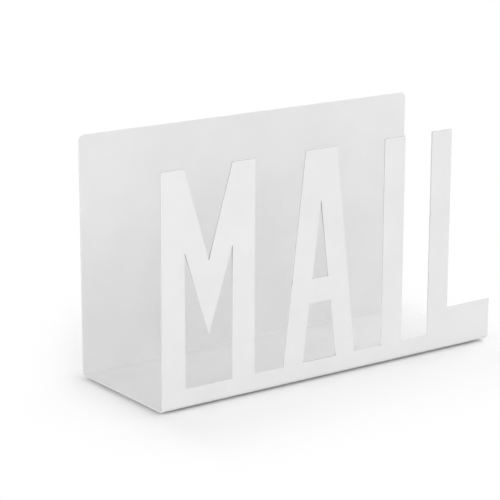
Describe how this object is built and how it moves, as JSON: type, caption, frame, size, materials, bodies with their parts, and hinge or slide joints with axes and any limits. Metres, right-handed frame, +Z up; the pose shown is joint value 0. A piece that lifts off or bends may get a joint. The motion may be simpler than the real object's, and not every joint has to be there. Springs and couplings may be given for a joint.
{
  "type": "mail organizer",
  "caption": "Free-standing desk tray for letters, folded from white powder-coated sheet steel, with a plain back panel and a front wall cut into block-capital uprights.",
  "frame": {"origin": "under the middle of the tray, on the plane of the pads' undersides", "axes": "+X along the width, to the right as the front is read; -Y out of the front wall; +Z up"},
  "size_m": [0.254, 0.0886, 0.1515],
  "materials": {
    "white_powder_coat": "satin white powder coat with a fine orange-peel texture, on sheet steel",
    "pad_rubber": "soft matt translucent rubber, light grey"
  },
  "bodies": {
    "root": {"folded_tray": "white_powder_coat", "foot_pad_front_left": "pad_rubber", "foot_pad_front_right": "pad_rubber", "foot_pad_rear_left": "pad_rubber", "foot_pad_rear_right": "pad_rubber"}
  },
  "joints": []
}
